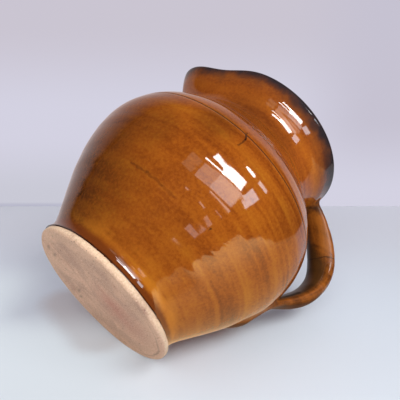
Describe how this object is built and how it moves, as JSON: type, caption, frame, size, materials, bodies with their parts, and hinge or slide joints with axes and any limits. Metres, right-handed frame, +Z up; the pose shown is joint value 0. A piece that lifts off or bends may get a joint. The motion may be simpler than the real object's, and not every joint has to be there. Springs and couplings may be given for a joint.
{
  "type": "ceramic jug",
  "caption": "Round-bellied glazed earthenware jug with a flat unglazed foot, flaring neck, pulled pouring spout and a strap handle opposite it.",
  "frame": {"origin": "centre of the flat underside", "axes": "+Z up the jug's axis to the mouth, +X to the handle, -X to the spout"},
  "size_m": [0.1895, 0.1664, 0.17],
  "materials": {
    "amber_glaze": "glossy honey-brown glaze with ring-wise streaks",
    "dark_glaze": "glossy brown glaze, almost black along the rim",
    "bare_clay": "matt unglazed pinkish-beige biscuit"
  },
  "bodies": {
    "root": {"base_disc": "bare_clay", "belly_wall": "amber_glaze", "neck_collar": "dark_glaze", "handle_strap": "amber_glaze", "upper_joint_coil": "dark_glaze", "lower_joint_coil": "amber_glaze"}
  },
  "joints": []
}
